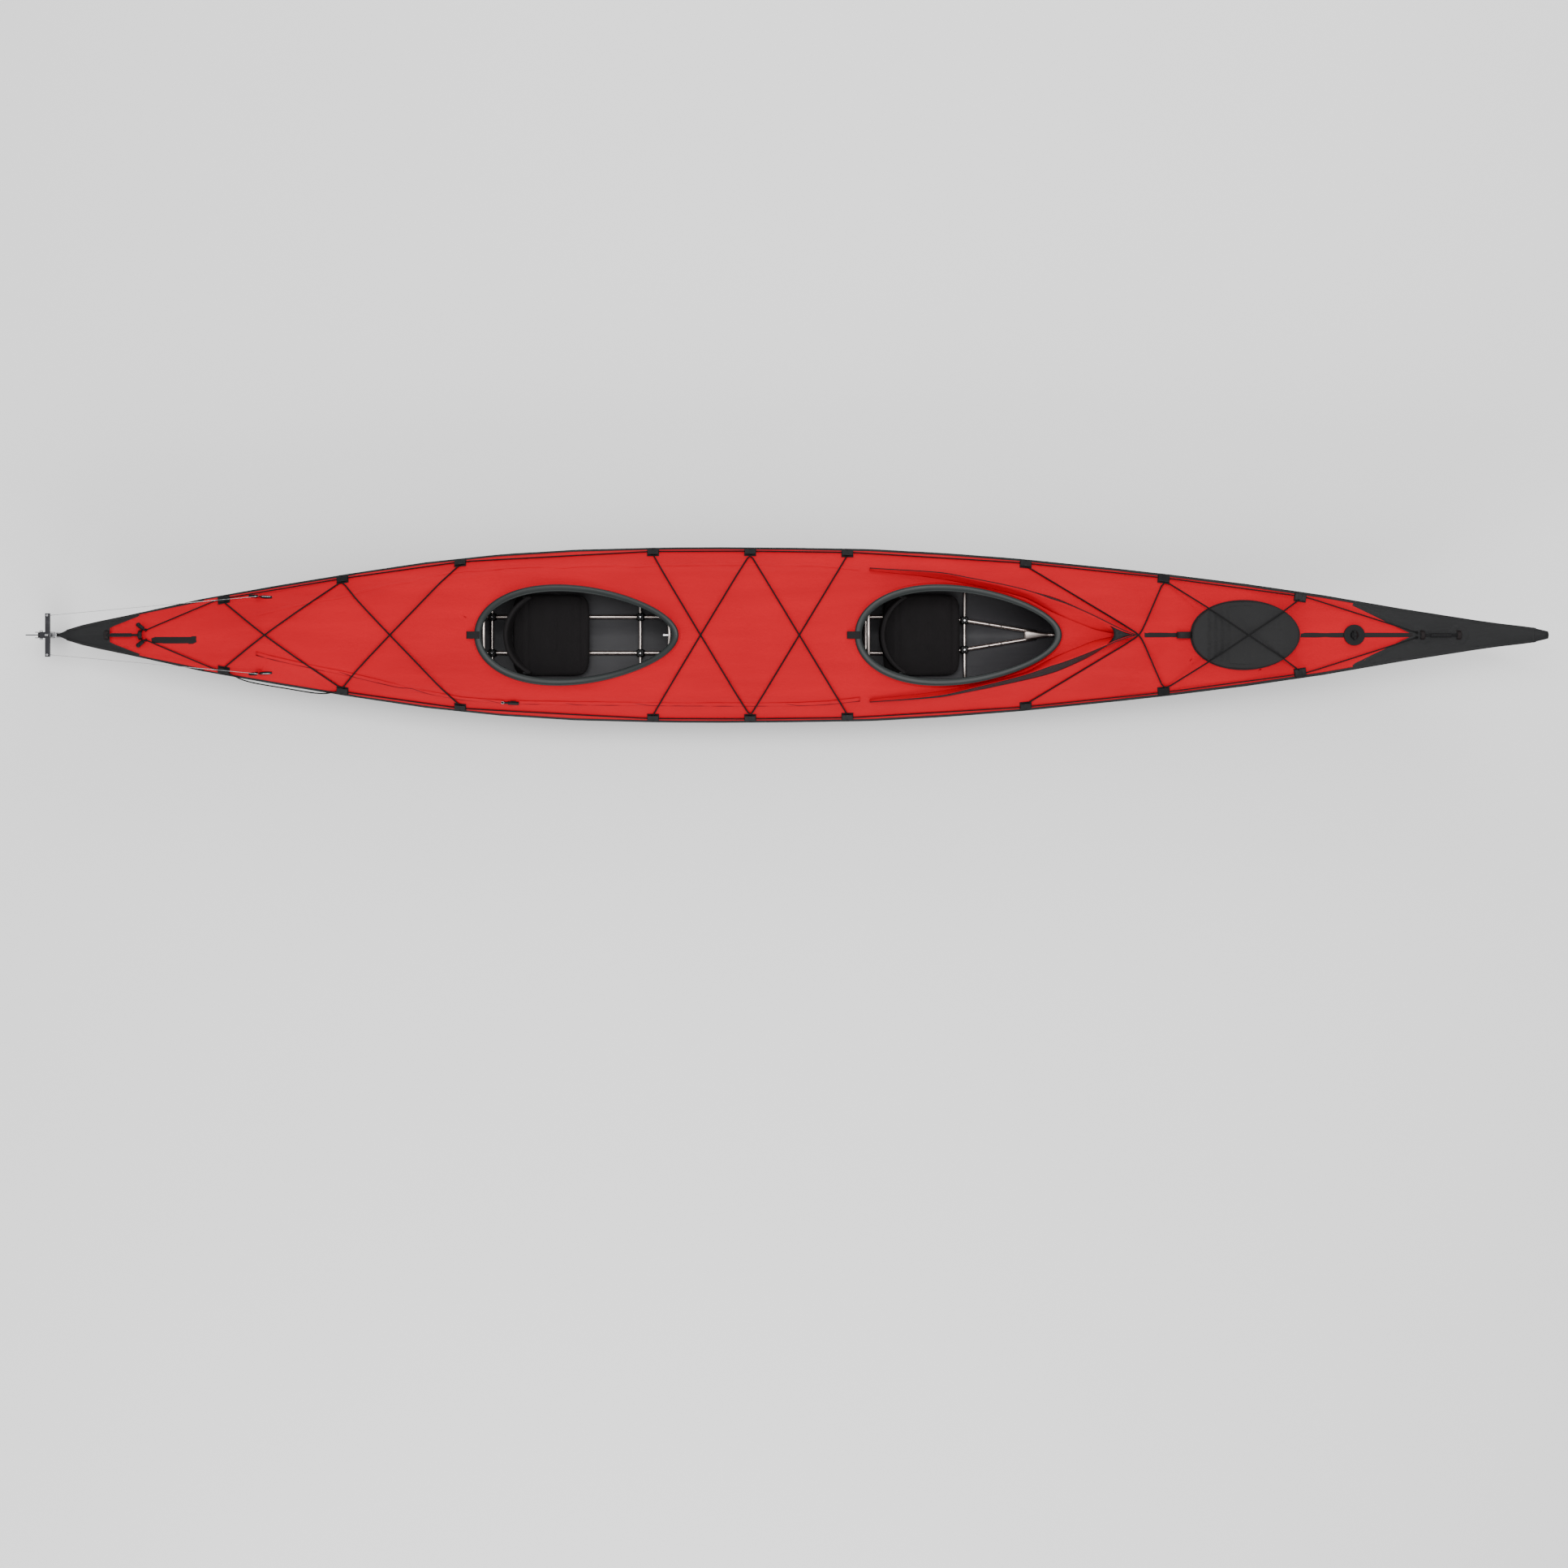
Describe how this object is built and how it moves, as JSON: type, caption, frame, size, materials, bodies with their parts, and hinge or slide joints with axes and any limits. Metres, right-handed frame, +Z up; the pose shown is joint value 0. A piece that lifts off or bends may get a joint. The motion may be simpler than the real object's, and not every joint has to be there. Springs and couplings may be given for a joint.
{
  "type": "folding kayak",
  "caption": "Tandem folding kayak: coated fabric skin over a tube frame with air sponsons, open cockpits with seats, spray breakwater, deck cords, hatch and a lifting rudder.",
  "frame": {"origin": "middle of the flat keel strip amidships, on the surface that the hull rests on", "axes": "+X along the boat to the bow, +Y to port, +Z up"},
  "size_m": [6.073, 0.7138, 0.528],
  "materials": {
    "hull_fabric": "satin black-grey coated fabric, long soft ripples",
    "deck_fabric": "matt red coated woven fabric",
    "cover_fabric": "matt dark grey coated fabric",
    "trim": "welded dark grey tape and moulded fittings",
    "air_tube": "coated air tube",
    "frame_tube": "satin anodised",
    "clip": "moulded black plastic",
    "rim": "dark grey moulded cockpit rim",
    "seat": "padded dark woven fabric",
    "cord": "braided black cord",
    "steel": "stainless steel",
    "rudder_metal": "dark anodised"
  },
  "bodies": {
    "hull": {"hull_skin": "hull_fabric", "deck_skin": "deck_fabric", "bow_cover": "cover_fabric", "stern_cover": "cover_fabric", "coaming_rear": "rim", "coaming_front": "rim", "seat_rear": "seat", "seat_front": "seat", "foot_brace": "frame_tube", "stem_frame_bow": "clip", "stem_frame_stern": "clip", "keel_tube_bow": "frame_tube", "keel_tube_stern": "frame_tube", "ridge_tube_bow": "frame_tube", "ridge_tube_stern": "frame_tube", "sponson_port": "air_tube", "keel_tube_port": "frame_tube", "chine_tube_port": "frame_tube", "gunwale_tube_port": "frame_tube", "deck_bar_port": "frame_tube", "edge_trim_port": "trim", "safety_line_port": "cord", "rudder_cable_port": "steel", "sponson_starboard": "air_tube", "keel_tube_starboard": "frame_tube", "chine_tube_starboard": "frame_tube", "gunwale_tube_starboard": "frame_tube", "deck_bar_starboard": "frame_tube", "edge_trim_starboard": "trim", "safety_line_starboard": "cord", "rudder_cable_starboard": "steel", "rib_1": "frame_tube", "rib_2": "frame_tube", "rib_3": "frame_tube", "rib_4": "frame_tube", "rib_5": "frame_tube", "rib_6": "frame_tube", "rib_7": "frame_tube", "bungee_aft": "cord", "bungee_middle": "cord", "bungee_fore": "cord", "hatch_rim": "clip", "breakwater": "cover_fabric", "zip_flap": "deck_fabric", "bow_deck_fitting": "clip", "rudder_bracket": "rudder_metal"},
    "rudder": {"rudder_pin": "steel", "rudder_head": "rudder_metal", "rudder_yoke": "rudder_metal", "rudder_bolt": "steel"},
    "blade": {"rudder_blade": "rudder_metal"},
    "pedal_port": {"pedal_port": "clip"},
    "pedal_starboard": {"pedal_starboard": "clip"},
    "backrest_rear": {"backrest_rear": "seat"},
    "backrest_front": {"backrest_front": "seat"},
    "hatch_cover": {"hatch_cover": "seat", "hatch_pull": "cord"},
    "zip_slider": {"zip_slider": "clip"},
    "bow_handle": {"bow_handle": "cord"},
    "stern_handle": {"stern_handle": "cord"}
  },
  "joints": [
    {"name": "rudder_yaw", "type": "hinge", "parent": "hull", "child": "rudder", "pos_m": [-2.978, 0, 0.257], "axis": [0, 0, 1], "range_deg": [-35, 35], "deforming": ["rudder_cable_port", "rudder_cable_starboard"]},
    {"name": "blade_lift", "type": "hinge", "parent": "rudder", "child": "blade", "pos_m": [-3.022, 0, 0.257], "axis": [0, 1, 0], "range_deg": [0, 100]},
    {"name": "pedal_port_tilt", "type": "hinge", "parent": "hull", "child": "pedal_port", "pos_m": [-0.236, 0.119, 0.042], "axis": [0, 1, 0], "range_deg": [-20, 20]},
    {"name": "pedal_starboard_tilt", "type": "hinge", "parent": "hull", "child": "pedal_starboard", "pos_m": [-0.236, -0.119, 0.042], "axis": [0, 1, 0], "range_deg": [-20, 20]},
    {"name": "backrest_rear_fold", "type": "hinge", "parent": "hull", "child": "backrest_rear", "pos_m": [-1.16175, 0, 0.07134], "axis": [0, 1, 0], "range_deg": [-8, 30]},
    {"name": "backrest_front_fold", "type": "hinge", "parent": "hull", "child": "backrest_front", "pos_m": [0.35131, 0, 0.08349], "axis": [0, 1, 0], "range_deg": [-8, 30]},
    {"name": "hatch_cover_peel", "type": "hinge", "parent": "hull", "child": "hatch_cover", "pos_m": [1.98507, 0, 0.33695], "axis": [0, 1, 0], "range_deg": [0, 35], "deforming": ["bungee_fore"]},
    {"name": "zip_slider_slide", "type": "slide", "parent": "hull", "child": "zip_slider", "axis": [0.9992, -0.0382, -0.014], "range_m": [-0.06, 0.06]},
    {"name": "bow_handle_swing", "type": "hinge", "parent": "hull", "child": "bow_handle", "pos_m": [2.4649, 0, 0.3776], "axis": [0.9969, 0, 0.0791], "range_deg": [-75, 75]},
    {"name": "stern_handle_swing", "type": "hinge", "parent": "hull", "child": "stern_handle", "pos_m": [-2.754, 0, 0.2805], "axis": [0.999, 0, 0.0438], "range_deg": [-75, 75]}
  ],
  "couplings": [
    {"joint": "pedal_port_tilt", "follows": "rudder_yaw", "ratio": -0.55},
    {"joint": "pedal_starboard_tilt", "follows": "rudder_yaw", "ratio": 0.55}
  ]
}
